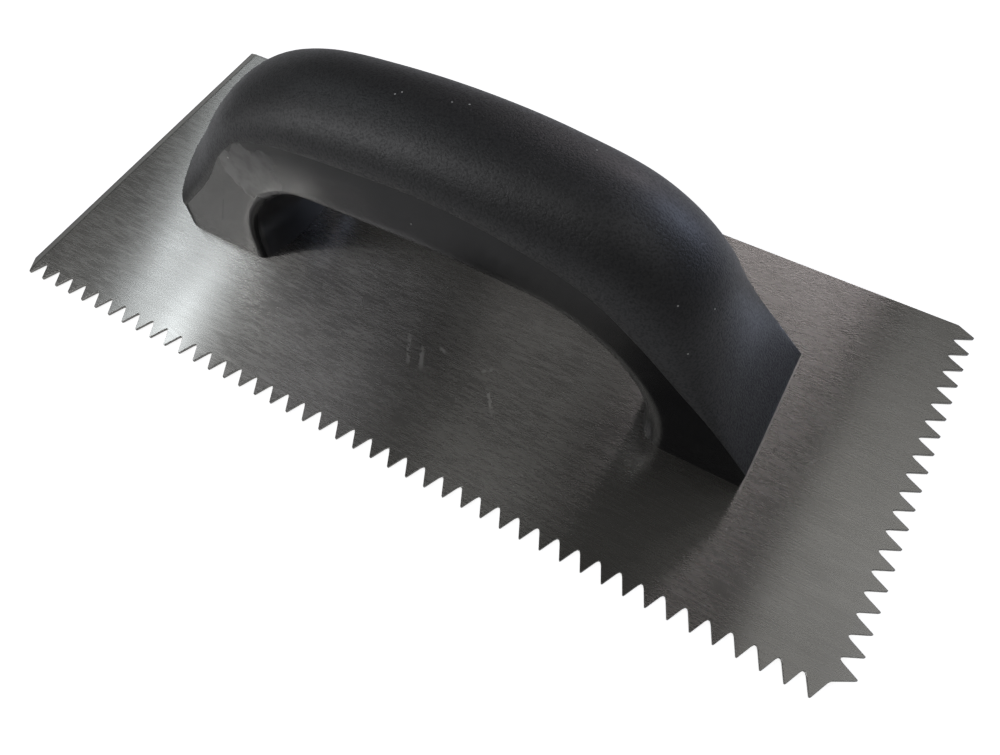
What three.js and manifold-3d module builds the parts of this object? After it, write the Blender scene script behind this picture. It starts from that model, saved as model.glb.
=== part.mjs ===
// Notched trowel: a thin steel blade with V teeth along its front edge and its right end,
// a moulded plastic handle that stands on the blade, and four screws driven from below.
// Millimetres, +Z up. The origin is the middle of the blade's underside, X runs along the
// blade, Y across it, the long toothed edge faces -Y and the short toothed edge faces +X.

import * as THREE from 'three';
import { mergeVertices } from 'three/addons/utils/BufferGeometryUtils.js';
import Module from 'manifold-3d';

const wasm = await Module();
wasm.setup();

// Blade
const BLADE_LENGTH = 229.5;
const BLADE_WIDTH = 100;
const BLADE_THICKNESS = 0.8;
const TOOTH_PITCH = 5;
const TOOTH_DEPTH = 4.2; // from the tips to the bottom of the round roots
const TOOTH_TIP_FLAT = 0.3;
const TOOTH_ROOT_WIDTH = 1.3;
const CORNER_MARGIN = 6.5; // least distance from the notched corner to a row's nearest tooth tip
const STRIP_WIDTH = 2.2; // bevelled strip along the plain left end
const STRIP_DROP = 0.35;

// Handle, as a whole
const HANDLE_LENGTH = 167.3;
const HANDLE_WIDTH = 36;
const HANDLE_SHIFT_X = -3.85; // middle of the handle from the middle of the blade
const HANDLE_SHIFT_Y = 2.25;
const SIDE_DRAFT_SHARE = 0.07; // how far each side leans in, for each unit of height

// Handle, top: the line between the smooth sides and the domed top, and the dome above it
const SHOULDER_HEIGHT = 49.1;
const DOME_RISE = 14.5;
const LEFT_WALL_HEIGHT = 2;
const RIGHT_WALL_HEIGHT = 5.5;
const LEFT_CORNER_RADIUS = 8.5; // corners of the left foot, seen from above
// Each row holds shares of the handle's length, the shoulder's height and the dome's rise.
const TOP_SHARES = [
  [0.018, 0.1, 0.31],
  [0.075, 0.295, 0.58],
  [0.13, 0.497, 0.63],
  [0.176, 0.712, 0.57],
  [0.224, 0.862, 0.56],
  [0.3, 0.94, 0.69],
  [0.4, 0.979, 0.75],
  [0.52, 1, 0.75],
  [0.64, 0.957, 0.85],
  [0.75, 0.848, 1],
  [0.82, 0.688, 0.94],
  [0.88, 0.511, 0.58],
  [0.94, 0.33, 0.16],
];

// Handle, finger opening
const OPENING_LENGTH = 103.7;
const OPENING_HEIGHT = 30;
const OPENING_SHIFT = 3.2; // middle of the opening from the middle of the handle
const LEFT_ARCH_REACH = 22; // the two upper corners of the opening are quarter ellipses
const LEFT_ARCH_RISE = 23;
const RIGHT_ARCH_REACH = 30.5;
const RIGHT_ARCH_RISE = 27.3;
const LEFT_LEG_EDGE_RADIUS = 3;
const RIGHT_LEG_EDGE_RADIUS = 7;
const GRIP_EDGE_RADIUS = 5.5;
const LEG_CROWN = 2.5; // how far the inner faces swell between their rounded edges
const GRIP_CROWN = 1.2;

// Feet, cored from below
const FOOT_WALL = 4;
const FOOT_ROOF = 5; // upright thickness kept above a core
const FOOT_RIB = 3;
const CORE_DEPTH = 20;
const BOSS_RADIUS = 5.5;

// Screws
const SCREW_SPACING = 19; // across the blade, between the two screws of a foot
const SCREW_LENGTH = 12;
const SCREW_HEAD_RADIUS = 3.75;
const SCREW_CREST_RADIUS = 1.9;
const SCREW_CORE_RADIUS = 1.4;
const SCREW_HEAD_HEIGHT = 1.9;
const SCREW_HEAD_RECESS = 0.1; // the heads lie this far inside the underside
const THREAD_PITCH = 1.5;
const THREAD_POINT = 1.5;
const DRIVE_SPAN = 4;
const DRIVE_WIDTH = 0.9;
const DRIVE_DEPTH = 1.2;

// Fits
const SEAT_GAP = 0.3; // between a screw and what it passes through
const TIP_GAP = 1.5; // below the bottom of a screw's hole
const OVERRUN = 2; // how far a cutter runs past the faces that it cuts

// Facets
const SECTION_COUNT = 48;
const DOME_STEPS = 7;
const SIDE_STEPS = 4;
const EDGE_STEPS = 4;
const FACE_STEPS = 2;
const ROUND_STEPS = 24;
const CURVE_STEPS = 3;
const ROOF_STEPS = 6;
const OUTLINE_SAMPLES = 400;

// Solids

function toSolid(geometry) {
  const bare = geometry.clone();
  bare.deleteAttribute('normal');
  bare.deleteAttribute('uv');
  const merged = mergeVertices(bare);
  const mesh = new wasm.Mesh({
    numProp: 3,
    vertProperties: new Float32Array(merged.attributes.position.array),
    triVerts: new Uint32Array(merged.index.array),
  });
  return new wasm.Manifold(mesh);
}

function toGeometry(solid) {
  const mesh = solid.getMesh();
  const geometry = new THREE.BufferGeometry();
  geometry.setAttribute('position', new THREE.BufferAttribute(new Float32Array(mesh.vertProperties), 3));
  geometry.setIndex(new THREE.BufferAttribute(new Uint32Array(mesh.triVerts), 1));
  geometry.computeVertexNormals();
  return geometry;
}

function cutAway(solid, cutters) {
  return cutters.reduce((rest, cutter) => rest.subtract(cutter), solid);
}

// A turned body about the Z axis, from points of radius and height that start and end on the axis.
function turned(points) {
  const profile = points.map(([radius, height]) => new THREE.Vector2(radius, height));
  return new THREE.LatheGeometry(profile, ROUND_STEPS).rotateX(Math.PI / 2);
}

// A body with the outline of points (x, z), from y = low to y = high.
function slab(points, low, high) {
  const outline = new THREE.Shape(points.map(([x, z]) => new THREE.Vector2(x, z)));
  const options = { depth: high - low, bevelEnabled: false };
  return new THREE.ExtrudeGeometry(outline, options).rotateX(Math.PI / 2).translate(0, high, 0);
}

// A closed skin through sections, each a ring of as many points, with a flat cap on both end rings.
function skinned(sections) {
  const count = sections[0].length;
  const skin = new THREE.CylinderGeometry(1, 1, 1, count, sections.length - 1);
  const middles = sections.map((ring) => ring.reduce((sum, point) => sum.add(point), new THREE.Vector3()));
  middles.forEach((middle) => middle.divideScalar(count));
  const position = skin.attributes.position;
  for (let i = 0; i < position.count; i += 1) {
    const [x, y, z] = [position.getX(i), position.getY(i), position.getZ(i)];
    const row = Math.round((1 / 2 - y) * (sections.length - 1));
    const turn = Math.atan2(x, z) / (2 * Math.PI);
    const column = (Math.round(-turn * count) + count) % count;
    const target = Math.hypot(x, z) < 1 / 2 ? middles[row] : sections[row][column];
    position.setXYZ(i, target.x, target.y, target.z);
  }
  return skin;
}

// Blade

// A row of teeth from a start point: each tooth's two tip points, then the round root after it.
// The row runs along the unit vector `along`, and the teeth point away from the unit vector `inwards`.
function addTeeth(outline, start, along, inwards, count) {
  const at = (distance, depth) => start.clone()
    .addScaledVector(along, distance)
    .addScaledVector(inwards, depth);
  const flank = TOOTH_PITCH / 2 - TOOTH_TIP_FLAT / 2;
  const easing = TOOTH_ROOT_WIDTH / 2;
  const meeting = TOOTH_DEPTH / (1 - easing / (2 * flank)); // depth at which two flanks would meet
  const shoulder = meeting * (1 - easing / flank);
  const lastRun = TOOTH_TIP_FLAT / 2 + flank * (TOOTH_DEPTH / meeting);
  for (let i = 0; i < count; i += 1) {
    const tip = (i + 1 / 2) * TOOTH_PITCH;
    const root = (i + 1) * TOOTH_PITCH;
    const from = at(root - easing, shoulder);
    const middle = at(root, meeting);
    const to = at(root + easing, shoulder);
    const tipStart = at(tip - TOOTH_TIP_FLAT / 2, 0);
    const tipEnd = at(tip + TOOTH_TIP_FLAT / 2, 0);
    outline.lineTo(tipStart.x, tipStart.y);
    outline.lineTo(tipEnd.x, tipEnd.y);
    if (i < count - 1) {
      outline.lineTo(from.x, from.y);
      outline.quadraticCurveTo(middle.x, middle.y, to.x, to.y);
    } else {
      const end = at(tip + lastRun, TOOTH_DEPTH);
      outline.lineTo(end.x, end.y);
    }
  }
}

function toothCount(edge) {
  return Math.floor((edge - CORNER_MARGIN - TOOTH_PITCH / 2) / TOOTH_PITCH) + 1;
}

function bladeOutline() {
  const halfLength = BLADE_LENGTH / 2;
  const halfWidth = BLADE_WIDTH / 2;
  const longCount = toothCount(BLADE_LENGTH);
  const shortCount = toothCount(BLADE_WIDTH);
  const outline = new THREE.Shape();
  outline.moveTo(-halfLength, halfWidth);
  outline.lineTo(-halfLength, -halfWidth + TOOTH_DEPTH);
  const frontLeft = new THREE.Vector2(-halfLength, -halfWidth);
  addTeeth(outline, frontLeft, new THREE.Vector2(1, 0), new THREE.Vector2(0, 1), longCount);
  const shortStart = new THREE.Vector2(halfLength, halfWidth - shortCount * TOOTH_PITCH);
  outline.lineTo(halfLength - TOOTH_DEPTH, shortStart.y);
  addTeeth(outline, shortStart, new THREE.Vector2(0, 1), new THREE.Vector2(-1, 0), shortCount);
  outline.closePath();
  return outline;
}

function countersink(gap) {
  const slope = (SCREW_HEAD_RADIUS - SCREW_CREST_RADIUS) / SCREW_HEAD_HEIGHT;
  const spread = gap * Math.hypot(1, slope);
  const mouth = SCREW_HEAD_RADIUS + spread + (OVERRUN + SCREW_HEAD_RECESS) * slope;
  const neck = SCREW_CREST_RADIUS + gap;
  const neckHeight = -OVERRUN + (mouth - neck) / slope;
  const top = SCREW_HEAD_RECESS + SCREW_LENGTH + TIP_GAP;
  const profile = [[0, -OVERRUN], [mouth, -OVERRUN], [neck, neckHeight], [neck, top], [0, top]];
  return toSolid(turned(profile));
}

function makeBlade(screwPlaces) {
  const options = { depth: BLADE_THICKNESS, bevelEnabled: false, curveSegments: CURVE_STEPS };
  const plate = toSolid(new THREE.ExtrudeGeometry(bladeOutline(), options));
  const edge = -BLADE_LENGTH / 2;
  const slope = STRIP_DROP / STRIP_WIDTH;
  const strip = slab([
    [edge - OVERRUN, BLADE_THICKNESS - STRIP_DROP - OVERRUN * slope],
    [edge + STRIP_WIDTH + OVERRUN, BLADE_THICKNESS + OVERRUN * slope],
    [edge - OVERRUN, BLADE_THICKNESS + OVERRUN * slope],
  ], -BLADE_WIDTH / 2 - OVERRUN, BLADE_WIDTH / 2 + OVERRUN);
  const holes = screwPlaces.map(({ x, y }) => countersink(SEAT_GAP).translate([x, y, 0]));
  return cutAway(plate, [toSolid(strip), ...holes]);
}

// Handle, in its own frame: its middle at x = 0 and y = 0, and its base at z = 0

const halfHandle = HANDLE_LENGTH / 2;
const openingLeft = OPENING_SHIFT - OPENING_LENGTH / 2;
const openingRight = OPENING_SHIFT + OPENING_LENGTH / 2;

// The shoulder line as a curve of (x, dome rise, height) from one end wall to the other.
const shoulderCurve = new THREE.CatmullRomCurve3([
  new THREE.Vector3(-halfHandle, 0, LEFT_WALL_HEIGHT),
  ...TOP_SHARES.map(([length, height, rise]) => new THREE.Vector3(
    HANDLE_LENGTH * length - halfHandle,
    DOME_RISE * rise,
    SHOULDER_HEIGHT * height,
  )),
  new THREE.Vector3(halfHandle, 0, RIGHT_WALL_HEIGHT),
], false, 'centripetal');

// Inner outline of the opening at the handle's middle plane, from the left foot to the right one.
function openingPath() {
  const path = new THREE.Path();
  path.moveTo(openingLeft, 0);
  path.lineTo(openingLeft, OPENING_HEIGHT - LEFT_ARCH_RISE);
  path.absellipse(
    openingLeft + LEFT_ARCH_REACH,
    OPENING_HEIGHT - LEFT_ARCH_RISE,
    LEFT_ARCH_REACH,
    LEFT_ARCH_RISE,
    Math.PI,
    Math.PI / 2,
    true,
  );
  path.lineTo(openingRight - RIGHT_ARCH_REACH, OPENING_HEIGHT);
  path.absellipse(
    openingRight - RIGHT_ARCH_REACH,
    OPENING_HEIGHT - RIGHT_ARCH_RISE,
    RIGHT_ARCH_REACH,
    RIGHT_ARCH_RISE,
    Math.PI / 2,
    0,
    true,
  );
  path.lineTo(openingRight, 0);
  return path;
}

// Half the handle's width at x and height z: drafted sides, and round corners at the left end.
function halfWidthAt(x, z) {
  const inset = Math.min(Math.max(LEFT_CORNER_RADIUS - halfHandle - x, 0), LEFT_CORNER_RADIUS);
  const corner = LEFT_CORNER_RADIUS - Math.sqrt(LEFT_CORNER_RADIUS ** 2 - inset ** 2);
  return HANDLE_WIDTH / 2 - corner - SIDE_DRAFT_SHARE * z;
}

// One closed ring of the skin, in a plane from the inner outline to the shoulder line. The dome
// above the shoulder line stands square to that line.
function handleSection(inner, innerTangent, shoulder, rise, domeWay) {
  const reach = shoulder.clone().sub(inner);
  const depth = reach.length();
  const way = reach.divideScalar(depth);
  const upright = Math.abs(innerTangent.y);
  const legRadius = inner.x < 0 ? LEFT_LEG_EDGE_RADIUS : RIGHT_LEG_EDGE_RADIUS;
  const radius = THREE.MathUtils.lerp(GRIP_EDGE_RADIUS, legRadius, upright);
  const crown = THREE.MathUtils.lerp(GRIP_CROWN, LEG_CROWN, upright);
  const spotAt = (distance) => inner.clone().addScaledVector(way, distance);
  const half = [];
  const add = (spot, y) => half.push(new THREE.Vector3(spot.x, y, spot.y));
  for (let i = 0; i < FACE_STEPS; i += 1) {
    const share = i / FACE_STEPS;
    const spot = spotAt(crown * share ** 2);
    add(spot, share * (halfWidthAt(spot.x, spot.y) - radius));
  }
  for (let i = 0; i < EDGE_STEPS; i += 1) {
    const angle = (Math.PI / 2) * (i / EDGE_STEPS);
    const spot = spotAt(crown + radius * (1 - Math.cos(angle)));
    add(spot, halfWidthAt(spot.x, spot.y) - radius * (1 - Math.sin(angle)));
  }
  for (let i = 0; i < SIDE_STEPS; i += 1) {
    const share = Math.sin((Math.PI / 2) * (i / SIDE_STEPS));
    const spot = spotAt(THREE.MathUtils.lerp(crown + radius, depth, share));
    add(spot, halfWidthAt(spot.x, spot.y));
  }
  for (let i = 0; i <= DOME_STEPS; i += 1) {
    const angle = (Math.PI / 2) * (i / DOME_STEPS);
    const spot = shoulder.clone().addScaledVector(domeWay, rise * Math.sin(angle));
    add(spot, halfWidthAt(shoulder.x, shoulder.y) * Math.cos(angle));
  }
  const mirrored = half.slice(1, -1).reverse().map(({ x, y, z }) => new THREE.Vector3(x, -y, z));
  return [...half, ...mirrored];
}

function handleSections() {
  const path = openingPath();
  const sections = [];
  for (let i = 0; i <= SECTION_COUNT; i += 1) {
    const share = i / SECTION_COUNT;
    const point = shoulderCurve.getPointAt(share);
    const tangent = shoulderCurve.getTangentAt(share);
    const domeWay = new THREE.Vector2(-tangent.z, tangent.x).normalize();
    const shoulder = new THREE.Vector2(point.x, point.z);
    const innerShare = THREE.MathUtils.lerp(1 / SECTION_COUNT, 1 - 1 / SECTION_COUNT, share);
    const inner = path.getPointAt(innerShare);
    const innerTangent = path.getTangentAt(innerShare);
    sections.push(handleSection(inner, innerTangent, shoulder, point.y, domeWay));
  }
  const upwards = new THREE.Vector2(0, 1);
  const [leftBase, rightBase] = [0, 1].map((end) => {
    const foot = new THREE.Vector2(shoulderCurve.getPointAt(end).x, 0);
    return handleSection(path.getPointAt(end), upwards, foot, 0, upwards);
  });
  return [leftBase, ...sections, rightBase];
}

// The shoulder's height above a place on the base.
const shoulderSamples = shoulderCurve.getSpacedPoints(OUTLINE_SAMPLES);
function shoulderHeightAt(x) {
  const next = shoulderSamples.findIndex((point) => point.x >= x);
  const [a, b] = [shoulderSamples[Math.max(next - 1, 0)], shoulderSamples[Math.max(next, 1)]];
  return THREE.MathUtils.mapLinear(x, a.x, b.x, a.z, b.z);
}

// The cored part of a foot, as its near and far limit along the handle.
const innerWall = FOOT_WALL + LEG_CROWN;
const cores = [
  { from: -halfHandle + LEFT_CORNER_RADIUS, to: openingLeft - innerWall },
  { from: openingRight + innerWall, to: halfHandle - FOOT_WALL },
];

function coreOutline({ from, to }) {
  const points = [[from, -OVERRUN]];
  for (let i = 0; i <= ROOF_STEPS; i += 1) {
    const x = THREE.MathUtils.lerp(from, to, i / ROOF_STEPS);
    points.push([x, Math.min(CORE_DEPTH, shoulderHeightAt(x) - FOOT_ROOF)]);
  }
  points.push([to, -OVERRUN]);
  return points.reverse();
}

function makeHandle(screwPlaces) {
  const outer = toSolid(skinned(handleSections()));
  const pockets = cores.flatMap((core) => [-1, 1].map((side) => {
    const limits = [side * FOOT_RIB / 2, side * (HANDLE_WIDTH / 2 - FOOT_WALL)];
    const pocket = slab(coreOutline(core), Math.min(...limits), Math.max(...limits));
    const bossHeight = 2 * (CORE_DEPTH + OVERRUN);
    const boss = new THREE.CylinderGeometry(BOSS_RADIUS, BOSS_RADIUS, bossHeight, ROUND_STEPS);
    boss.rotateX(Math.PI / 2).translate((core.from + core.to) / 2, side * SCREW_SPACING / 2, 0);
    return toSolid(pocket).subtract(toSolid(boss));
  }));
  const holes = screwPlaces.map(({ x, y }) => countersink(SEAT_GAP).translate(
    [x - HANDLE_SHIFT_X, y - HANDLE_SHIFT_Y, -BLADE_THICKNESS],
  ));
  return cutAway(outer, [...pockets, ...holes]);
}

// Screws, each in the blade's frame below its own hole

function makeScrew() {
  const base = SCREW_HEAD_RECESS;
  const tip = base + SCREW_LENGTH;
  const points = [[0, base], [SCREW_HEAD_RADIUS, base], [SCREW_CREST_RADIUS, base + SCREW_HEAD_HEIGHT]];
  const threadStart = base + SCREW_HEAD_HEIGHT + THREAD_PITCH / 2;
  const threadLength = tip - THREAD_POINT - threadStart;
  const turns = Math.floor(threadLength / THREAD_PITCH);
  for (let i = 0; i < turns; i += 1) {
    const start = threadStart + i * THREAD_PITCH;
    points.push([SCREW_CORE_RADIUS, start]);
    points.push([SCREW_CREST_RADIUS, start + THREAD_PITCH / 2]);
  }
  points.push([SCREW_CORE_RADIUS, threadStart + turns * THREAD_PITCH]);
  points.push([0, tip]);
  const body = toSolid(turned(points));
  const bar = new THREE.BoxGeometry(DRIVE_SPAN, DRIVE_WIDTH, 2 * DRIVE_DEPTH);
  const drive = toSolid(bar).add(toSolid(bar.clone().rotateZ(Math.PI / 2)));
  return body.subtract(drive.translate([0, 0, base]));
}

// Assembly

const steel = new THREE.MeshStandardMaterial({ color: 0x8f8e8b, roughness: 0.38, metalness: 1 });
const plastic = new THREE.MeshStandardMaterial({ color: 0x1c1d20, roughness: 0.55, metalness: 0 });
const zinc = new THREE.MeshStandardMaterial({ color: 0xb4b6b8, roughness: 0.35, metalness: 1 });

const feet = ['left', 'right'];
const screwPlaces = cores.flatMap((core, index) => [['front', -1], ['back', 1]].map(([row, side]) => ({
  name: `screw_${feet[index]}_${row}`,
  x: HANDLE_SHIFT_X + (core.from + core.to) / 2,
  y: HANDLE_SHIFT_Y + side * SCREW_SPACING / 2,
})));

const trowel = new THREE.Group();

function place(name, solid, material, x, y, z) {
  const mesh = new THREE.Mesh(toGeometry(solid), material);
  mesh.name = name;
  mesh.position.set(x, y, z);
  trowel.add(mesh);
}

place('blade', makeBlade(screwPlaces), steel, 0, 0, 0);
place('handle', makeHandle(screwPlaces), plastic, HANDLE_SHIFT_X, HANDLE_SHIFT_Y, BLADE_THICKNESS);
for (const { name, x, y } of screwPlaces) {
  place(name, makeScrew(), zinc, x, y, 0);
}

export default trowel;
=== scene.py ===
"""A notched trowel: a brushed steel plate with V teeth, a black moulded bridge handle, and four screws."""

import math

import bmesh
import bpy
from mathutils import Matrix, Vector


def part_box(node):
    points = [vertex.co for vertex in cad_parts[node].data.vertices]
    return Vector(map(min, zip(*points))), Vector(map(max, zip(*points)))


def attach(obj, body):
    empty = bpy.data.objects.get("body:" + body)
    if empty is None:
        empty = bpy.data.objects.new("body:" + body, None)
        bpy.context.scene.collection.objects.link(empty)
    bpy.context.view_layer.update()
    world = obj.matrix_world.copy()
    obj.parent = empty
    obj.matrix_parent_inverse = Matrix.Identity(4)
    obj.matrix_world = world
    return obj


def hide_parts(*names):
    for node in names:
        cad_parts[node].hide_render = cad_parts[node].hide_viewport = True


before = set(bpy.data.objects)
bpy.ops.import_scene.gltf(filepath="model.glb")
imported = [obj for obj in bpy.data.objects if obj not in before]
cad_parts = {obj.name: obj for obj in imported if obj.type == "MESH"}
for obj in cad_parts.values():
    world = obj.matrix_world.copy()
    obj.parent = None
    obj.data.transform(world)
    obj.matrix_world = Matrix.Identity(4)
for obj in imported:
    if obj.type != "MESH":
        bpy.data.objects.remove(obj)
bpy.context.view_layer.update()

MM = 0.001

# The handle's own sizes
HANDLE_LENGTH = 167.3 * MM
HANDLE_WIDTH = 36 * MM
SIDE_DRAFT_SHARE = 0.07
SHOULDER_HEIGHT = 49.1 * MM
DOME_RISE = 14.5 * MM
LEFT_WALL_HEIGHT = 2 * MM
RIGHT_WALL_HEIGHT = 5.5 * MM
LEFT_CORNER_RADIUS = 8.5 * MM
OPENING_LENGTH = 103.7 * MM
OPENING_HEIGHT = 30 * MM
OPENING_SHIFT = 3.2 * MM
LEFT_ARCH_REACH = 22 * MM
LEFT_ARCH_RISE = 23 * MM
RIGHT_ARCH_REACH = 30.5 * MM
RIGHT_ARCH_RISE = 27.3 * MM
LEFT_LEG_EDGE_RADIUS = 3 * MM
RIGHT_LEG_EDGE_RADIUS = 7 * MM
GRIP_EDGE_RADIUS = 5.5 * MM
LEG_CROWN = 2.5 * MM
GRIP_CROWN = 1.2 * MM

# The shoulder line: share of the length, share of the shoulder height, share of the dome's rise
TOP_SHARES = (
    (0.018, 0.1, 0.31),
    (0.075, 0.295, 0.58),
    (0.13, 0.497, 0.63),
    (0.176, 0.712, 0.57),
    (0.224, 0.862, 0.56),
    (0.3, 0.94, 0.69),
    (0.4, 0.979, 0.75),
    (0.52, 1, 0.75),
    (0.64, 0.957, 0.85),
    (0.75, 0.848, 1),
    (0.82, 0.688, 0.94),
    (0.88, 0.511, 0.58),
    (0.94, 0.33, 0.16),
)

# The feet are cored from below, with a rib across and a boss for each screw
FOOT_WALL = 4 * MM
FOOT_ROOF = 5 * MM
FOOT_RIB = 3 * MM
CORE_DEPTH = 20 * MM
BOSS_RADIUS = 5.5 * MM

# The screws
SCREW_SPACING = 19 * MM
SCREW_LENGTH = 12 * MM
SCREW_HEAD_RADIUS = 3.75 * MM
SCREW_HEAD_HEIGHT = 1.9 * MM
SCREW_HEAD_RECESS = 0.1 * MM
SCREW_HEAD_EASE = 0.08 * MM
SCREW_CREST_RADIUS = 1.9 * MM
SCREW_CORE_RADIUS = 1.4 * MM
THREAD_PITCH = 1.5 * MM
THREAD_POINT = 1.5 * MM
DRIVE_SPAN = 4 * MM
DRIVE_WIDTH = 0.9 * MM
DRIVE_DEPTH = 1.2 * MM
SEAT_GAP = 0.3 * MM
TIP_GAP = 1.5 * MM
OVERRUN = 2 * MM
SCREWS = ("screw_left_front", "screw_left_back", "screw_right_front", "screw_right_back")

# How finely the handle's skin is divided: along it, and round half of each section. The sections start
# and end a little way up the finger gap, and the outlines of the feet close the skin below them
SKIN_STEPS = 280
FACE_STEPS = 6
EDGE_STEPS = 9
SIDE_STEPS = 24
DOME_STEPS = 15
HALF_RING = FACE_STEPS + EDGE_STEPS + SIDE_STEPS + DOME_STEPS
INNER_END_SHARE = 1 / 48
SPAN_SAMPLES = 60
TURN_STEPS = 48
ROOF_STEPS = 6
MERGE_GAP = 0.001 * MM

# The steel plate's edges
EDGE_EASE = 0.07 * MM
FLAT_ANGLE = math.radians(1)
SHARP_ANGLE = math.radians(30)

# Colours
STEEL_DARK = (0.45, 0.44, 0.42, 1)
STEEL_LIGHT = (0.55, 0.54, 0.52, 1)
STEEL_WARM = (0.5, 0.49, 0.46, 1)
# Pale steel for rubs, the scratch and worn edges, and for the painted highlights along the right foot and
# on the ground strip
STEEL_PALE_RUB_AND_HIGHLIGHT = (0.72, 0.71, 0.69, 1)
# Painted shade: the dark lines at the plate's left end and along the ground strip's border
STRIP_PAINTED_SHADE = (0.16, 0.165, 0.15, 1)
PLASTIC_DARK = (0.0105, 0.0105, 0.012, 1)
PLASTIC_LIGHT = (0.0135, 0.0135, 0.0145, 1)
PLASTIC_RUBBED = (0.09, 0.09, 0.095, 1)
ZINC_DARK = (0.5, 0.51, 0.53, 1)
ZINC_LIGHT = (0.68, 0.68, 0.68, 1)
ZINC_RUBBED = (0.78, 0.77, 0.75, 1)
DUST_COLOR = (0.6, 0.6, 0.58, 1)
TABLE_COLOR = (0.8, 0.8, 0.8, 1)
ROOM_COLOR = (1, 1, 0.98, 1)

# How fine the finishes are, how deep they go, and how far their rubbed edges reach
STEEL_GRAIN_SCALES = (170, 2300, 2300)
STEEL_BAND_SCALES = (60, 600, 600)
STEEL_GRAIN_DEPTH = 0.0004 * MM
SCRATCH_DEPTH_SHARE = 3
PLASTIC_GRAIN_SCALE = 2000
PLASTIC_GRAIN_DEPTH = 0.21 * MM
PLASTIC_WAVE_SCALE = 60
PLASTIC_WAVE_DEPTH = 0.15 * MM
ZINC_GRIT_SCALE = 4000
ZINC_GRIT_DEPTH = 0.003 * MM
STEEL_WORN_REACH = 0.12 * MM
PLASTIC_WORN_REACH = 0.25 * MM
ZINC_WORN_REACH = 0.15 * MM

# Where the plastic's finishes meet, as shares of the way round a section
DOME_EDGE_SHARE = DOME_STEPS / (2 * HALF_RING)
DOME_EDGE_BLUR_SHARE = 0.0015
INSIDE_EDGE_SHARE = 0.5 - (FACE_STEPS + EDGE_STEPS / 2) / (2 * HALF_RING)
INSIDE_EDGE_BLUR_SHARE = 0.015

# The marks on the plate: middle, degrees of turn from its length, length, width
RUBS = (
    ((-5.6 * MM, -20.8 * MM, 0.8 * MM), -60, 12 * MM, 1.4 * MM),
    ((-1.3 * MM, -21.4 * MM, 0.8 * MM), -62, 9 * MM, 1.6 * MM),
    ((2.3 * MM, -17.1 * MM, 0.8 * MM), -20, 3 * MM, 1.2 * MM),
    ((15.2 * MM, -16.8 * MM, 0.8 * MM), 40, 4 * MM, 1.2 * MM),
    ((20 * MM, -24 * MM, 0.8 * MM), -50, 9 * MM, 1.4 * MM),
)
SCRATCH = ((92.4 * MM, -1.5 * MM, 0.8 * MM), 53, 5.5 * MM, 0.5 * MM)
# A painted highlight: a pale line on the plate along the lit base edge of the right foot
FOOT_EDGE_HIGHLIGHT = ((80.15 * MM, 2.2 * MM, 0.8 * MM), 90, 48 * MM, 0.9 * MM)

# The ground strip along the plate's left end: painted paler, partly as a painted highlight of its bevel,
# with painted shade lines at the plate's end and along the strip's border
STRIP_WIDTH = 2.2 * MM
STRIP_BLUR = 0.1 * MM

# Marks on the near side of the handle: a satin flow mark, a line on the left foot, and specks of dust
FLOW_MIDDLE = (-46.5 * MM, -13.3 * MM, 34.5 * MM)
FLOW_REACH = (10.5 * MM, 8 * MM, 9 * MM)
FLOW_FADE = (-34 * MM, -47 * MM)
FOOT_LINE = ((-65.5 * MM, -14.8 * MM, 14.6 * MM), 67, 24 * MM, 0.5 * MM)
SPECK_RADIUS = 0.22 * MM
SPECKS = (
    (-12.49 * MM, 1.25 * MM, 60.38 * MM),
    (-11.48 * MM, 2.28 * MM, 60.47 * MM),
    (-0.91 * MM, 4.19 * MM, 60.66 * MM),
    (28.9 * MM, 7.88 * MM, 58.17 * MM),
    (-2.76 * MM, -12.91 * MM, 41.39 * MM),
    (59.47 * MM, -10.75 * MM, 34.78 * MM),
    (60.55 * MM, -2.85 * MM, 40.79 * MM),
    (54.6 * MM, -7.9 * MM, 44.17 * MM),
)

# The table and the room: how bright they look to the camera and in reflections
TABLE_REACH = 3000 * MM
TABLE_DROP = 0.2 * MM
FLOOR_GLOW = 0.82
FLOOR_GLOW_MIRRORED = 0.1
ROOM_SEEN = 0.9
ROOM_LIGHT = 0.055
LAMP_DISTANCE = 900 * MM

# The camera, worked out from the photograph's outlines of the plate and the handle; angles in degrees
CAMERA_AIM = Vector((18.56 * MM, -16.68 * MM, 0))
CAMERA_DISTANCE = 189.46 * MM
CAMERA_NEAR = 10 * MM
CAMERA_AZIMUTH = -54.80
CAMERA_ELEVATION = 60.46
CAMERA_ROLL = -5.81
CAMERA_LENS = 27.75


def towards(azimuth, elevation):
    """The unit vector at an azimuth from +X and an elevation, in degrees."""
    a = math.radians(azimuth)
    e = math.radians(elevation)
    return Vector((math.cos(a) * math.cos(e), math.sin(a) * math.cos(e), math.sin(e)))


def fan(along, turn):
    """The unit vector with that share along the plate's length, turned up from the front by degrees."""
    a = math.radians(turn)
    rest = math.sqrt(1 - along**2)
    return Vector((along, -rest * math.cos(a), rest * math.sin(a)))


# Curves of the handle, in its own frame: middle of its length at x = 0, base at z = 0


class Route:
    """A line through many points, read by the share of its length."""

    def __init__(self, points):
        self.points = points
        self.lengths = [0.0]
        for a, b in zip(points, points[1:]):
            self.lengths.append(self.lengths[-1] + (b - a).length)

    def at(self, share):
        wanted = share * self.lengths[-1]
        low = 0
        high = len(self.lengths) - 1
        while high - low > 1:
            middle = (low + high) // 2
            if self.lengths[middle] <= wanted:
                low = middle
            else:
                high = middle
        span = self.lengths[high] - self.lengths[low]
        return self.points[low].lerp(self.points[high], (wanted - self.lengths[low]) / span)

    def height_at(self, x):
        """The height over a place on the base, for a route that runs to the right."""
        for a, b in zip(self.points, self.points[1:]):
            if b.x >= x:
                return a.z + (b.z - a.z) * (x - a.x) / (b.x - a.x)
        return self.points[-1].z

    def direction(self, share):
        reach = 0.5 / SKIN_STEPS
        return (self.at(min(share + reach, 1)) - self.at(max(share - reach, 0))).normalized()


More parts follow.
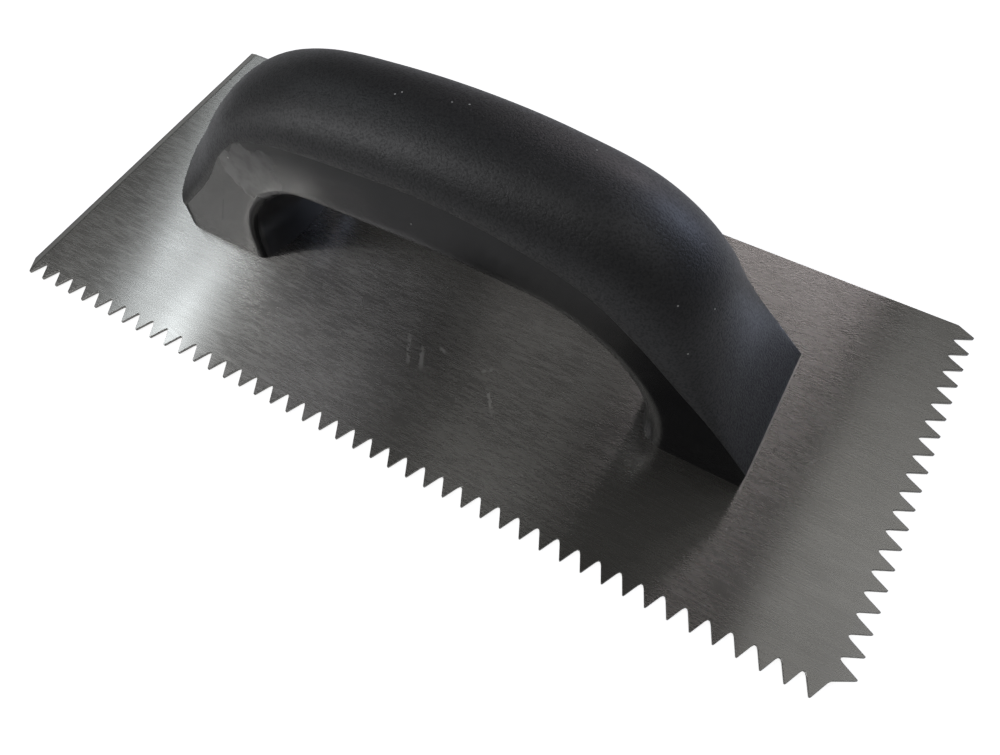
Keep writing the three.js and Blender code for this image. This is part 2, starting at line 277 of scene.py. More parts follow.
def smooth_route(points):
    """A centripetal curve through the points, drawn as a fine route."""
    ends = [2 * points[0] - points[1], *points, 2 * points[-1] - points[-2]]
    fine = []
    for before, a, b, after in zip(ends, ends[1:], ends[2:], ends[3:]):
        d0, d1, d2 = (math.sqrt((q - p).length) for p, q in ((before, a), (a, b), (b, after)))
        leave = ((a - before) / d0 - (b - before) / (d0 + d1) + (b - a) / d1) * d1
        arrive = ((b - a) / d1 - (after - a) / (d1 + d2) + (after - b) / d2) * d1
        for step in range(SPAN_SAMPLES):
            t = step / SPAN_SAMPLES
            cube = (2 * a - 2 * b + leave + arrive) * t**3
            square = (3 * b - 3 * a - 2 * leave - arrive) * t**2
            fine.append(cube + square + leave * t + a)
    fine.append(points[-1])
    return Route(fine)


def quarter(centre, reach, rise, start, end):
    """A quarter of an ellipse in the x, z plane, as points."""
    points = []
    for step in range(SPAN_SAMPLES + 1):
        angle = start + (end - start) * step / SPAN_SAMPLES
        points.append(Vector((centre.x + reach * math.cos(angle), 0, centre.z + rise * math.sin(angle))))
    return points


def shoulder_route():
    """The line where the sides meet the dome: x, rise of the dome, z."""
    half = HANDLE_LENGTH / 2
    points = [Vector((-half, 0, LEFT_WALL_HEIGHT))]
    for length, height, rise in TOP_SHARES:
        x = HANDLE_LENGTH * length - half
        points.append(Vector((x, DOME_RISE * rise, SHOULDER_HEIGHT * height)))
    points.append(Vector((half, 0, RIGHT_WALL_HEIGHT)))
    return smooth_route(points)


def opening_route():
    """The outline of the finger gap, from the left foot over the arch to the right foot."""
    left = OPENING_SHIFT - OPENING_LENGTH / 2
    right = OPENING_SHIFT + OPENING_LENGTH / 2
    left_centre = Vector((left + LEFT_ARCH_REACH, 0, OPENING_HEIGHT - LEFT_ARCH_RISE))
    right_centre = Vector((right - RIGHT_ARCH_REACH, 0, OPENING_HEIGHT - RIGHT_ARCH_RISE))
    points = [Vector((left, 0, 0))]
    points += quarter(left_centre, LEFT_ARCH_REACH, LEFT_ARCH_RISE, math.pi, math.pi / 2)
    points += quarter(right_centre, RIGHT_ARCH_REACH, RIGHT_ARCH_RISE, math.pi / 2, 0)
    points.append(Vector((right, 0, 0)))
    return Route(points)


def half_width_at(x, z):
    """Half the handle's width: drafted upwards, and rounded at the left end."""
    inset = min(max(LEFT_CORNER_RADIUS - HANDLE_LENGTH / 2 - x, 0), LEFT_CORNER_RADIUS)
    corner = LEFT_CORNER_RADIUS - math.sqrt(LEFT_CORNER_RADIUS**2 - inset**2)
    return HANDLE_WIDTH / 2 - corner - SIDE_DRAFT_SHARE * z


def blend(a, b, share):
    return a + (b - a) * share


def half_section(inner, inner_way, shoulder, rise, dome_way):
    """Half of a section, from the middle of the inner face to that of the dome, as (spot, y) pairs."""
    depth = (shoulder - inner).length
    way = (shoulder - inner).normalized()
    upright = abs(inner_way.z)
    leg_radius = LEFT_LEG_EDGE_RADIUS if inner.x < 0 else RIGHT_LEG_EDGE_RADIUS
    radius = blend(GRIP_EDGE_RADIUS, leg_radius, upright)
    crown = blend(GRIP_CROWN, LEG_CROWN, upright)
    ring = []
    for step in range(FACE_STEPS):
        share = step / FACE_STEPS
        spot = inner + way * crown * share**2
        ring.append((spot, share * (half_width_at(spot.x, spot.z) - radius)))
    for step in range(EDGE_STEPS):
        angle = math.pi / 2 * step / EDGE_STEPS
        spot = inner + way * (crown + radius * (1 - math.cos(angle)))
        ring.append((spot, half_width_at(spot.x, spot.z) - radius * (1 - math.sin(angle))))
    for step in range(SIDE_STEPS):
        spot = inner + way * blend(crown + radius, depth, 1 - (1 - step / SIDE_STEPS) ** 2)
        ring.append((spot, half_width_at(spot.x, spot.z)))
    for step in range(DOME_STEPS + 1):
        angle = math.pi / 2 * step / DOME_STEPS
        spot = shoulder + dome_way * rise * math.sin(angle)
        ring.append((spot, half_width_at(shoulder.x, shoulder.z) * math.cos(angle)))
    return ring


def skin_ring(share, shoulders, openings):
    """One closed section, as points in the handle's own frame, from the middle of the inner face."""
    corner = shoulders.at(share)
    way = shoulders.direction(share)
    shoulder = Vector((corner.x, 0, corner.z))
    across = Vector((-way.z, 0, way.x)).normalized()
    inner_share = blend(INNER_END_SHARE, 1 - INNER_END_SHARE, share)
    inner_way = openings.direction(inner_share)
    half = half_section(openings.at(inner_share), inner_way, shoulder, corner.y, across)
    return close_ring(half)


def close_ring(half):
    """The whole section, from its half and the mirror image of that."""
    ring = [Vector((spot.x, y, spot.z)) for spot, y in half]
    ring += [Vector((p.x, -p.y, p.z)) for p in reversed(ring[1:-1])]
    return ring + [ring[0]]


def base_ring(side, openings):
    """The outline of a foot on the plate; side is -1 for the left foot and 1 for the right one."""
    foot = Vector((side * HANDLE_LENGTH / 2, 0, 0))
    inner = openings.at(0 if side < 0 else 1)
    return close_ring(half_section(inner, Vector((0, 0, 1)), foot, 0, Vector((side, 0, 0))))


# Mesh helpers


def handle_place():
    """Where the handle's own frame stands: its right end, middle and base are the node's."""
    low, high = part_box("handle")
    return Vector((high.x - HANDLE_LENGTH / 2, (low.y + high.y) / 2, low.z))


def mesh_object(bm, name):
    """Makes an object of a bmesh."""
    mesh = bpy.data.meshes.new(name)
    bm.to_mesh(mesh)
    bm.free()
    made = bpy.data.objects.new(name, mesh)
    bpy.context.scene.collection.objects.link(made)
    return made


def dress(piece, material, node):
    """Gives a piece its material and slot; it rides on the part and stands for a CAD node."""
    piece.data.materials.clear()
    piece.data.materials.append(material)
    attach(piece, "root")
    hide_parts(node)


def cut(piece, tool):
    """Cuts a tool out of a piece, for good, and removes the tool."""
    modifier = piece.modifiers.new("cut", "BOOLEAN")
    modifier.object = tool
    modifier.operation = "DIFFERENCE"
    modifier.solver = "EXACT"
    bpy.context.view_layer.update()
    shaped = bpy.data.meshes.new_from_object(piece.evaluated_get(bpy.context.evaluated_depsgraph_get()))
    piece.modifiers.clear()
    bm = bmesh.new()
    bm.from_mesh(shaped)
    tidy(bm)
    bm.to_mesh(shaped)
    bm.free()
    uncut = piece.data
    piece.data = shaped
    shaped.name = piece.name
    bpy.data.meshes.remove(uncut)
    bpy.data.objects.remove(tool)


def add_box(bm, low, high):
    """Adds a box between two corners."""
    made = bmesh.ops.create_cube(bm, size=1)["verts"]
    bmesh.ops.scale(bm, vec=high - low, verts=made)
    bmesh.ops.translate(bm, vec=(low + high) / 2, verts=made)


def add_turned(bm, profile, centre):
    """Adds a solid turned about an upright axis; its (radius, height) points start and end on the axis."""
    line = [bm.verts.new(Vector((radius, 0, height)) + centre) for radius, height in profile]
    edges = [bm.edges.new(pair) for pair in zip(line, line[1:])]
    bmesh.ops.spin(
        bm,
        geom=line + edges,
        cent=centre,
        axis=(0, 0, 1),
        angle=math.tau,
        steps=TURN_STEPS,
        use_merge=True,
    )
    tidy(bm)


def tidy(bm):
    """Merges doubles and turns the faces outwards."""
    bmesh.ops.remove_doubles(bm, verts=bm.verts, dist=MERGE_GAP)
    bmesh.ops.recalc_face_normals(bm, faces=bm.faces)


# The handle


def handle_skin():
    """The moulded body: a grid wrapped round the sections, closed at the two feet."""
    place = handle_place()
    shoulders = shoulder_route()
    openings = opening_route()
    rings = [base_ring(-1, openings)]
    rings += [skin_ring(i / SKIN_STEPS, shoulders, openings) for i in range(SKIN_STEPS + 1)]
    rings.append(base_ring(1, openings))
    around = 2 * HALF_RING
    along = len(rings) - 1
    bm = bmesh.new()
    bm.loops.layers.uv.new("wrap")
    bmesh.ops.create_grid(bm, x_segments=along, y_segments=around, size=0.5, calc_uvs=True)
    for vert in bm.verts:
        section = round((vert.co.x + 0.5) * along)
        spot = round((vert.co.y + 0.5) * around)
        vert.co = rings[section][spot] + place
    tidy(bm)
    for face in bm.faces:
        face.smooth = True
    rims = [edge for edge in bm.edges if edge.is_boundary]
    for edge in rims:
        edge.smooth = False
    caps = bmesh.ops.holes_fill(bm, edges=rims, sides=0)["faces"]
    for face in caps:
        face.smooth = False
    bmesh.ops.recalc_face_normals(bm, faces=bm.faces)
    return mesh_object(bm, "handle_moulding")


def foot_cores():
    """The limits of the two cores along the handle, in its own frame."""
    half = HANDLE_LENGTH / 2
    wall = FOOT_WALL + LEG_CROWN
    left = OPENING_SHIFT - OPENING_LENGTH / 2
    right = OPENING_SHIFT + OPENING_LENGTH / 2
    return (LEFT_CORNER_RADIUS - half, left - wall), (right + wall, half - FOOT_WALL)


def core_tool(start, end, side):
    """The space of half a core, with the boss of its screw left out."""
    shoulders = shoulder_route()
    limits = sorted((side * FOOT_RIB / 2, side * (HANDLE_WIDTH / 2 - FOOT_WALL)))
    bm = bmesh.new()
    add_box(bm, Vector((start, limits[0], -OVERRUN)), Vector((end, limits[1], CORE_DEPTH)))
    along = [e for e in bm.edges if abs(e.verts[0].co.x - e.verts[1].co.x) > MERGE_GAP]
    bmesh.ops.subdivide_edges(bm, edges=along, cuts=ROOF_STEPS - 1, use_grid_fill=True)
    for vert in bm.verts:
        if vert.co.z > 0:
            vert.co.z = min(CORE_DEPTH, shoulders.height_at(vert.co.x) - FOOT_ROOF)
    bmesh.ops.translate(bm, vec=handle_place(), verts=bm.verts)
    tool = mesh_object(bm, "core")
    boss_bm = bmesh.new()
    foot = Vector(((start + end) / 2, side * SCREW_SPACING / 2, 0)) + handle_place()
    reach = 2 * CORE_DEPTH
    add_turned(boss_bm, ((0, -reach), (BOSS_RADIUS, -reach), (BOSS_RADIUS, reach), (0, reach)), foot)
    cut(tool, mesh_object(boss_bm, "boss"))
    return tool


def screw_hole_tool(centre):
    """The space of a screw, with its gap and the room past its tip; centre is on the blade's underside."""
    slope = (SCREW_HEAD_RADIUS - SCREW_CREST_RADIUS) / SCREW_HEAD_HEIGHT
    spread = SEAT_GAP * math.hypot(1, slope)
    mouth = SCREW_HEAD_RADIUS + spread + (OVERRUN + SCREW_HEAD_RECESS) * slope
    neck = SCREW_CREST_RADIUS + SEAT_GAP
    neck_height = (mouth - neck) / slope - OVERRUN
    top = SCREW_HEAD_RECESS + SCREW_LENGTH + TIP_GAP
    bm = bmesh.new()
    profile = ((0, -OVERRUN), (mouth, -OVERRUN), (neck, neck_height), (neck, top), (0, top))
    add_turned(bm, profile, centre)
    return mesh_object(bm, "screw_hole")


def handle(material):
    """The moulded handle, with its feet cored and drilled from below."""
    piece = handle_skin()
    for start, end in foot_cores():
        for side in (-1, 1):
            cut(piece, core_tool(start, end, side))
    for centre in screw_places().values():
        cut(piece, screw_hole_tool(centre))
    dress(piece, material, "handle")


# The screws


def screw_places():
    """The middle of each screw on the blade's underside."""
    places = {}
    for name in SCREWS:
        low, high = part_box(name)
        places[name] = Vector(((low.x + high.x) / 2, (low.y + high.y) / 2, 0))
    return places


def screw(name, centre, material):
    """A countersunk screw with a cross drive: head, ridged shank and point."""
    base = SCREW_HEAD_RECESS
    tip = base + SCREW_LENGTH
    thread = base + SCREW_HEAD_HEIGHT + THREAD_PITCH / 2
    turns = int((tip - THREAD_POINT - thread) / THREAD_PITCH)
    profile = [(0, base), (SCREW_HEAD_RADIUS - SCREW_HEAD_EASE, base)]
    profile.append((SCREW_HEAD_RADIUS, base + SCREW_HEAD_EASE))
    profile.append((SCREW_CREST_RADIUS, base + SCREW_HEAD_HEIGHT))
    for turn in range(turns):
        profile.append((SCREW_CORE_RADIUS, thread + turn * THREAD_PITCH))
        profile.append((SCREW_CREST_RADIUS, thread + (turn + 0.5) * THREAD_PITCH))
    profile.append((SCREW_CORE_RADIUS, thread + turns * THREAD_PITCH))
    profile.append((0, tip))
    bm = bmesh.new()
    add_turned(bm, profile, centre)
    piece = mesh_object(bm, name + "_zinc")
    middle = centre + Vector((0, 0, base))
    for length, width in ((DRIVE_SPAN, DRIVE_WIDTH), (DRIVE_WIDTH, DRIVE_SPAN)):
        reach = Vector((length / 2, width / 2, DRIVE_DEPTH))
        slot_bm = bmesh.new()
        add_box(slot_bm, middle - reach, middle + reach)
        cut(piece, mesh_object(slot_bm, "drive"))
    dress(piece, material, name)


# The plate


def plate(material):
    """The steel plate: the CAD plate with merged points, eased edges and a grain map."""
    bm = bmesh.new()
    bm.from_mesh(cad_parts["blade"].data)
    bmesh.ops.remove_doubles(bm, verts=bm.verts, dist=MERGE_GAP)
    bmesh.ops.dissolve_limit(
        bm, angle_limit=FLAT_ANGLE, verts=bm.verts, edges=bm.edges, use_dissolve_boundaries=False
    )
    shared = [edge for edge in bm.edges if len(edge.link_faces) == 2]
    sharp = [edge for edge in shared if edge.calc_face_angle() > SHARP_ANGLE]
    bmesh.ops.bevel(
        bm,
        geom=sharp,
        offset=EDGE_EASE,
        offset_type="OFFSET",
        affect="EDGES",
        segments=1,
        profile=0.5,
        material=-1,
        clamp_overlap=True,
    )
    bmesh.ops.triangulate(bm, faces=bm.faces)
    grain = bm.loops.layers.uv.new("grain")
    for face in bm.faces:
        for loop in face.loops:
            loop[grain].uv = (loop.vert.co.y + loop.vert.co.z, loop.vert.co.x)
    dress(mesh_object(bm, "steel_plate"), material, "blade")


# Materials


class Nodes:
    """Short hand for building a node tree."""

    def __init__(self, tree):
        self.tree = tree

    def add(self, kind, inputs=None, **settings):
        node = self.tree.nodes.new(kind)
        for name, value in settings.items():
            setattr(node, name, value)
        for name, value in (inputs or {}).items():
            self.set(node, name, value)
        return node

    def set(self, node, name, value):
        socket = node.inputs[name]
        if isinstance(value, bpy.types.NodeSocket):
            self.tree.links.new(value, socket)
        elif isinstance(value, bpy.types.Node):
            self.tree.links.new(value.outputs[0], socket)
        else:
            socket.default_value = value

    def math(self, operation, a, b=0.0, clamp=False):
        return self.add("ShaderNodeMath", {0: a, 1: b}, operation=operation, use_clamp=clamp)

    def largest(self, first, *others):
        for other in others:
            first = self.math("MAXIMUM", first, other)
        return first

    def ramp(self, value, low, high, to_low=0.0, to_high=1.0):
        """Maps a value from low..high to to_low..to_high, smoothly and clamped."""
        inputs = {"Value": value, "From Min": low, "From Max": high, "To Min": to_low, "To Max": to_high}
        return self.add("ShaderNodeMapRange", inputs, interpolation_type="SMOOTHSTEP")

    def noise(self, place, stretch, scale, detail=2.0, roughness=0.5):
        """Noise on Object coordinates that are stretched first."""
        mapped = self.add("ShaderNodeMapping", {"Vector": place, "Scale": stretch})
        inputs = {"Vector": mapped, "Scale": scale, "Detail": detail, "Roughness": roughness}
        return self.add("ShaderNodeTexNoise", inputs)

    def mix(self, share, a, b):
        node = self.add("ShaderNodeMix", data_type="RGBA")
        self.set(node, 0, share)
        self.set(node, 6, a)
        self.set(node, 7, b)
        return node.outputs[2]


def new_material(name):
    material = bpy.data.materials.new(name)
    material.use_nodes = True
    material.node_tree.nodes.clear()
    nodes = Nodes(material.node_tree)
    out = nodes.add("ShaderNodeOutputMaterial")
    return material, nodes, out


def new_effect(name, inputs, output):
    """An effect that materials share: a group that reads a place and named numbers and gives one number."""
    tree = bpy.data.node_groups.new(name, "ShaderNodeTree")
    tree.interface.new_socket("Place", in_out="INPUT", socket_type="NodeSocketVector")
    for label, value in inputs.items():
        socket = tree.interface.new_socket(label, in_out="INPUT", socket_type="NodeSocketFloat")
        socket.default_value = value
    tree.interface.new_socket(output, in_out="OUTPUT", socket_type="NodeSocketFloat")
    nodes = Nodes(tree)
    return tree, nodes, nodes.add("NodeGroupInput").outputs, nodes.add("NodeGroupOutput")


def mottling_effect():
    """Soft cloudy change of a value between two levels."""
    tree, nodes, given, out = new_effect("mottling", {"Scale": 50, "Low": 0, "High": 1}, "Value")
    inputs = {"Vector": given["Place"], "Scale": given["Scale"], "Detail": 3.0}
    cloud = nodes.add("ShaderNodeTexNoise", inputs)
    level = nodes.ramp(cloud, 0.3, 0.7, given["Low"], given["High"])
    nodes.set(out, "Value", level)
    return tree


def dust_effect():
    """Sparse small specks of dust, as a mask."""
    inputs = {"Scale": 400, "Share": 0.01, "Size": 0.1}
    tree, nodes, given, out = new_effect("dust specks", inputs, "Mask")
    cell = nodes.add("ShaderNodeTexVoronoi", {"Vector": given["Place"], "Scale": given["Scale"]})
    core = nodes.math("MULTIPLY", given["Size"], 0.6)
    near = nodes.ramp(cell.outputs["Distance"], given["Size"], core)
    lot = nodes.add("ShaderNodeSeparateColor", {"Color": cell.outputs["Color"]}).outputs["Red"]
    kept = nodes.math("LESS_THAN", lot, given["Share"])
    nodes.set(out, "Mask", nodes.math("MULTIPLY", near, kept))
    return tree


def wear_effect():
    """Rubbed edges, broken up by a fine cloud, as a mask."""
    tree, nodes, given, out = new_effect("worn edges", {"Reach": 0.0003, "Amount": 1}, "Mask")
    eased = nodes.add("ShaderNodeBevel", {"Radius": given["Reach"]}, samples=6)
    true = nodes.add("ShaderNodeNewGeometry").outputs["Normal"]
    match = nodes.add("ShaderNodeVectorMath", {0: eased, 1: true}, operation="DOT_PRODUCT")
    edge = nodes.ramp(match.outputs["Value"], 0.985, 0.85)
    cloud = nodes.add("ShaderNodeTexNoise", {"Vector": given["Place"], "Scale": 900.0, "Detail": 3.0})
    broken = nodes.ramp(cloud, 0.25, 0.6, 0.35, 1.0)
    rubbed = nodes.math("MULTIPLY", edge, nodes.math("MULTIPLY", broken, given["Amount"]), clamp=True)
    nodes.set(out, "Mask", rubbed)
    return tree


MOTTLING = mottling_effect()
DUST = dust_effect()
WEAR = wear_effect()


def effect(nodes, tree, place, **inputs):
    """Places a shared effect in a material with its own values."""
    return nodes.add("ShaderNodeGroup", {"Place": place, **inputs}, node_tree=tree)


def mark(nodes, place, middle, turn, length, width, upright=False):
    """A mask of one short stroke with soft ends, flat or on an upright side, turned by degrees."""
    turned = (math.pi / 2, -math.radians(turn), 0) if upright else (0, 0, math.radians(turn))
    reach = (length / 2, width / 2, 1)
    inputs = {"Vector": place, "Location": middle, "Rotation": turned, "Scale": reach}
    local = nodes.add("ShaderNodeMapping", inputs, vector_type="TEXTURE")
    parts = nodes.add("ShaderNodeSeparateXYZ", {"Vector": local})
    along = nodes.ramp(nodes.math("ABSOLUTE", parts.outputs["X"]), 1, 0.3)
    across = nodes.ramp(nodes.math("ABSOLUTE", parts.outputs["Y"]), 1, 0)
    return nodes.math("MULTIPLY", along, across)


def steel_material():
    """Satin steel, brushed along its length, with a ground strip edged by painted shade lines and painted
    partly paler as a highlight, rubs, a scratch, a painted highlight along the right foot, and specks of
    dust.
    """
    material, nodes, out = new_material("brushed satin steel")
    place = nodes.add("ShaderNodeTexCoord").outputs["Object"]
    fine = nodes.noise(place, STEEL_GRAIN_SCALES, 1, 2, 0.6)
    wide = nodes.noise(place, STEEL_BAND_SCALES, 1, 3, 0.6)
    tone = nodes.math("ADD", nodes.math("MULTIPLY", fine, 0.65), nodes.math("MULTIPLY", wide, 0.35))
    color = nodes.mix(nodes.ramp(tone, 0.3, 0.7), STEEL_DARK, STEEL_LIGHT)
    drift = effect(nodes, MOTTLING, place, Scale=18, Low=0, High=0.4)
    color = nodes.mix(drift, color, STEEL_WARM)
    rubs = nodes.largest(*(mark(nodes, place, *rub) for rub in RUBS))
    broken = nodes.ramp(nodes.noise(place, (900, 900, 900), 1, 2, 0.6), 0.35, 0.6)
    rubs = nodes.math("MULTIPLY", rubs, nodes.math("MULTIPLY", broken, 0.5))
    scratch = mark(nodes, place, *SCRATCH)
    worn = effect(nodes, WEAR, place, Reach=STEEL_WORN_REACH, Amount=0.5)
    dust = effect(nodes, DUST, place, Scale=420, Share=0.02, Size=0.09)
    # Pale paint for rubs, the scratch and worn edges, with a painted highlight along the right foot
    pale = nodes.largest(rubs, scratch, mark(nodes, place, *FOOT_EDGE_HIGHLIGHT), worn)
    color = nodes.mix(pale, color, STEEL_PALE_RUB_AND_HIGHLIGHT)
    color = nodes.mix(dust, color, DUST_COLOR)
    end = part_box("blade")[0].x
    border = end + STRIP_WIDTH
    along = nodes.add("ShaderNodeSeparateXYZ", {"Vector": place}).outputs["X"]
    ground = nodes.ramp(along, border + STRIP_BLUR, border - STRIP_BLUR)
    # Painted shade lines, at the plate's very end and along the strip's border
    end_shade_line = nodes.ramp(along, end + 5 * STRIP_BLUR, end + 2 * STRIP_BLUR)
    from_border = nodes.math("ABSOLUTE", nodes.math("SUBTRACT", along, border))
    border_shade_line = nodes.ramp(from_border, 3 * STRIP_BLUR, STRIP_BLUR)
    # The ground strip is painted paler, partly as a painted highlight of its bevel
    color = nodes.mix(nodes.math("MULTIPLY", ground, 0.5), color, STEEL_PALE_RUB_AND_HIGHLIGHT)
    color = nodes.mix(nodes.math("MULTIPLY", nodes.largest(end_shade_line, border_shade_line), 0.75), color, STRIP_PAINTED_SHADE)
    cloud = effect(nodes, MOTTLING, place, Scale=70, Low=0.26, High=0.28)
    rough = nodes.math("ADD", cloud, nodes.ramp(fine, 0.3, 0.7, -0.02, 0.02))
    rough = nodes.math("ADD", rough, nodes.math("MULTIPLY", nodes.largest(pale, dust), 0.25))
    rough = nodes.math("ADD", rough, nodes.math("MULTIPLY", ground, 0.55))
    height = nodes.math("SUBTRACT", fine, nodes.math("MULTIPLY", scratch, SCRATCH_DEPTH_SHARE))
    bump = nodes.add("ShaderNodeBump", {"Distance": STEEL_GRAIN_DEPTH, "Height": height})
    tangent = nodes.add("ShaderNodeTangent", direction_type="UV_MAP", uv_map="grain")
    inputs = {
        "Base Color": color,
        "Metallic": nodes.math("SUBTRACT", 1, dust),
        "Roughness": rough,
        "Anisotropic": 1.0,
        "Normal": bump,
        "Tangent": tangent,
    }
    shader = nodes.add("ShaderNodeBsdfPrincipled", inputs)
    nodes.set(out, "Surface", shader)
    return material


def plastic_material():
    """Black moulded plastic: grained on the dome, smooth and slightly wavy on the sides."""
    material, nodes, out = new_material("black moulded plastic")
    place = nodes.add("ShaderNodeTexCoord").outputs["Object"]
    wrap = nodes.add("ShaderNodeUVMap", uv_map="wrap")
    around = nodes.add("ShaderNodeSeparateXYZ", {"Vector": wrap}).outputs["Y"]
    from_middle = nodes.math("ABSOLUTE", nodes.math("SUBTRACT", around, 0.5))
    dome_out = DOME_EDGE_SHARE + DOME_EDGE_BLUR_SHARE
    dome_in = DOME_EDGE_SHARE - DOME_EDGE_BLUR_SHARE
    grained = nodes.ramp(from_middle, dome_out, dome_in)
    inside_start = INSIDE_EDGE_SHARE - INSIDE_EDGE_BLUR_SHARE
    inside_end = INSIDE_EDGE_SHARE + INSIDE_EDGE_BLUR_SHARE
    inside = nodes.ramp(from_middle, inside_start, inside_end)
    grain = nodes.noise(place, (1, 1, 1), PLASTIC_GRAIN_SCALE, 2, 0.6)
    wave = nodes.noise(place, (1, 1, 1), PLASTIC_WAVE_SCALE, 1, 0.4)
    height = nodes.math("MULTIPLY", grain, grained)
    bump = nodes.add("ShaderNodeBump", {"Distance": PLASTIC_GRAIN_DEPTH, "Height": height})
    wave_inputs = {"Distance": PLASTIC_WAVE_DEPTH, "Height": wave, "Normal": bump}
    bump_wave = nodes.add("ShaderNodeBump", wave_inputs)
    worn = effect(nodes, WEAR, place, Reach=PLASTIC_WORN_REACH, Amount=0.5)
    dust = effect(nodes, DUST, place, Scale=420, Share=0.02, Size=0.11)
    for spot in SPECKS:
        away = nodes.add("ShaderNodeVectorMath", {0: place, 1: spot}, operation="DISTANCE")
        speck = nodes.ramp(away.outputs["Value"], SPECK_RADIUS, 0.6 * SPECK_RADIUS)
        dust = nodes.largest(dust, speck)
    shade = effect(nodes, MOTTLING, place, Scale=120, Low=0, High=1)
    color = nodes.mix(shade, PLASTIC_DARK, PLASTIC_LIGHT)
    color = nodes.mix(nodes.math("MULTIPLY", worn, 0.8), color, PLASTIC_RUBBED)
    color = nodes.mix(dust, color, DUST_COLOR)
    smooth = effect(nodes, MOTTLING, place, Scale=90, Low=0.15, High=0.21)
    matte = effect(nodes, MOTTLING, place, Scale=500, Low=0.44, High=0.52)
    flow_inputs = {"Vector": place, "Location": FLOW_MIDDLE, "Scale": FLOW_REACH}
    flow_place = nodes.add("ShaderNodeMapping", flow_inputs, vector_type="TEXTURE")
    flow_away = nodes.add("ShaderNodeVectorMath", {0: flow_place}, operation="LENGTH").outputs["Value"]
    ragged = nodes.ramp(nodes.noise(place, (1, 1, 1), 220, 2, 0.5), 0.3, 0.7, -0.22, 0.22)
    flow = nodes.ramp(nodes.math("ADD", flow_away, ragged), 1.03, 0.93)
    parts = nodes.add("ShaderNodeSeparateXYZ", {"Vector": place}).outputs
    flow = nodes.math("MULTIPLY", flow, nodes.ramp(parts["X"], FLOW_FADE[0], FLOW_FADE[1]))
    flow = nodes.math("MULTIPLY", flow, effect(nodes, MOTTLING, place, Scale=300, Low=0.4, High=1.2))
    flow = nodes.math("MULTIPLY", flow, nodes.math("SUBTRACT", 1, grained), clamp=True)
    line = mark(nodes, place, *FOOT_LINE, upright=True)
    color = nodes.mix(nodes.math("MULTIPLY", line, 0.5), color, PLASTIC_RUBBED)
    coat = nodes.math("MULTIPLY", grained, nodes.ramp(grain, 0.3, 0.7, 0.3, 1.3))
    coat = nodes.math("MAXIMUM", coat, flow, clamp=True)
    worked = nodes.largest(grained, nodes.math("MULTIPLY", inside, 0.5))
    rough = nodes.add("ShaderNodeMix", {0: worked, 2: smooth, 3: matte}, data_type="FLOAT")
    inputs = {
        "Base Color": color,
        "Roughness": rough,
        "Coat Weight": coat,
        "Coat Roughness": 0.48,
        "Normal": bump_wave,
    }
    shader = nodes.add("ShaderNodeBsdfPrincipled", inputs)
    nodes.set(out, "Surface", shader)
    return material


def zinc_material():
    """Zinc plated steel of the screws, rubbed bright along its edges."""
    material, nodes, out = new_material("zinc plated screw")
    place = nodes.add("ShaderNodeTexCoord").outputs["Object"]
    cloud = effect(nodes, MOTTLING, place, Scale=900, Low=0, High=1)
    worn = effect(nodes, WEAR, place, Reach=ZINC_WORN_REACH, Amount=0.8)
    color = nodes.mix(cloud, ZINC_DARK, ZINC_LIGHT)
    color = nodes.mix(worn, color, ZINC_RUBBED)
    grit = nodes.noise(place, (1, 1, 1), ZINC_GRIT_SCALE, 2, 0.6)
    inputs = {
        "Base Color": color,
        "Metallic": 1.0,
        "Roughness": effect(nodes, MOTTLING, place, Scale=900, Low=0.25, High=0.42),
        "Normal": nodes.add("ShaderNodeBump", {"Distance": ZINC_GRIT_DEPTH, "Height": grit}),
    }
    shader = nodes.add("ShaderNodeBsdfPrincipled", inputs)
    nodes.set(out, "Surface", shader)
    return material


def floor_material():
    """A white table, which glows to the camera and weakly in reflections, and keeps the shadows."""
    material, nodes, out = new_material("white table")
    path = nodes.add("ShaderNodeLightPath")
    mirrored = nodes.largest(path.outputs["Is Glossy Ray"], path.outputs["Is Transmission Ray"])
    straight = nodes.math("MULTIPLY", path.outputs["Is Camera Ray"], FLOOR_GLOW)
    strength = nodes.math("ADD", straight, nodes.math("MULTIPLY", mirrored, FLOOR_GLOW_MIRRORED))
    paint = nodes.add("ShaderNodeBsdfPrincipled", {"Base Color": TABLE_COLOR, "Roughness": 0.9})
    glow = nodes.add("ShaderNodeEmission", {"Strength": strength})
    both = nodes.add("ShaderNodeAddShader")
    nodes.tree.links.new(paint.outputs[0], both.inputs[0])
    nodes.tree.links.new(glow.outputs[0], both.inputs[1])
    nodes.set(out, "Surface", both)
    return material


# Stage


def floor():
    """A wide flat table just under the plate."""
    bm = bmesh.new()
    bmesh.ops.create_grid(bm, x_segments=1, y_segments=1, size=TABLE_REACH)
    bmesh.ops.translate(bm, vec=(0, 0, -TABLE_DROP), verts=bm.verts)
    table = mesh_object(bm, "table")
    table.data.materials.append(floor_material())


def lamp(name, way, width, height, power, color):
    """A soft rectangular lamp that faces the trowel; its height runs square to the plate's length."""
    light = bpy.data.lights.new(name, "AREA")
    light.shape = "RECTANGLE"
    light.size = width
    light.size_y = height
    light.energy = power
    light.color = color
    shown = bpy.data.objects.new(name, light)
    bpy.context.scene.collection.objects.link(shown)
    upright = Vector((1, 0, 0)).cross(way).normalized()
    turned = Matrix((upright.cross(way), upright, way)).transposed().to_4x4()
    shown.matrix_world = Matrix.Translation(way * LAMP_DISTANCE) @ turned


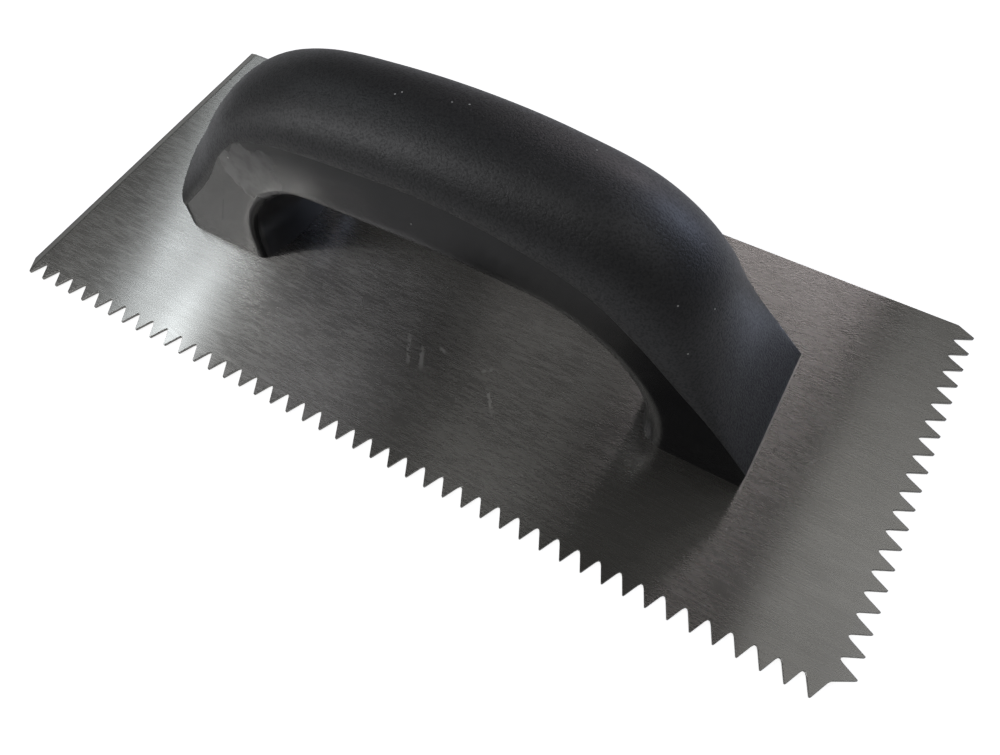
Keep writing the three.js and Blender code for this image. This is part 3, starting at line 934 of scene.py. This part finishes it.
def lights():
    """A small key lamp and two strips from the left, and soft lamps from all sides."""
    lamp("key_left", towards(216, 40), 0.025, 0.025, 0.38, (1, 1, 1))
    lamp("strip_left", fan(-0.665, 95), 0.03, 0.12, 0.19, (0.88, 0.95, 1))
    lamp("strip_left_back", fan(-0.71, 110), 0.03, 0.12, 0.09, (0.88, 0.95, 1))
    lamp("soft_left", fan(-0.72, 40), 0.18, 0.3, 0.74, (0.97, 0.98, 1))
    lamp("soft_front_left", fan(-0.5, 60), 0.18, 0.3, 0.42, (0.94, 0.94, 1))
    lamp("soft_front", fan(-0.22, 62), 0.18, 0.2, 0.26, (1, 1, 1))
    lamp("soft_above", fan(0.32, 110), 0.2, 0.3, 0.155, (1, 1, 0.99))
    lamp("soft_right", fan(0.5, 80), 0.18, 0.3, 0.5, (0.98, 0.98, 1))
    lamp("soft_back", fan(-0.1, 145), 0.45, 0.3, 0.17, (1, 0.97, 0.97))
    lamp("soft_back_right", fan(0.065, 157), 0.22, 0.12, 0.56, (1, 0.91, 0.95))
    lamp("soft_right_back", fan(0.52, 150), 0.18, 0.3, 1.3, (0.66, 0.75, 1))


def room():
    """A pale room, bright to the camera, that gives weak light."""
    world = bpy.data.worlds.new("room")
    world.use_nodes = True
    nodes = Nodes(world.node_tree)
    seen = nodes.add("ShaderNodeLightPath").outputs["Is Camera Ray"]
    levels = {"Value": seen, "To Min": ROOM_LIGHT, "To Max": ROOM_SEEN}
    background = world.node_tree.nodes["Background"]
    nodes.set(background, "Color", ROOM_COLOR)
    nodes.set(background, "Strength", nodes.add("ShaderNodeMapRange", levels))
    bpy.context.scene.world = world


def camera():
    """The photograph's view."""
    data = bpy.data.cameras.new("camera")
    data.lens = CAMERA_LENS
    data.clip_start = CAMERA_NEAR
    seen = bpy.data.objects.new("camera", data)
    bpy.context.scene.collection.objects.link(seen)
    way = towards(CAMERA_AZIMUTH, CAMERA_ELEVATION)
    rolled = Matrix.Rotation(math.radians(CAMERA_ROLL), 4, "Z")
    turned = way.to_track_quat("Z", "Y").to_matrix().to_4x4() @ rolled
    seen.matrix_world = Matrix.Translation(CAMERA_AIM + way * CAMERA_DISTANCE) @ turned
    bpy.context.scene.camera = seen


camera()
lights()
room()
floor()
handle(plastic_material())
plate(steel_material())
zinc = zinc_material()
for screw_name, screw_centre in screw_places().items():
    screw(screw_name, screw_centre, zinc)

bpy.context.scene.view_settings.view_transform = "Standard"
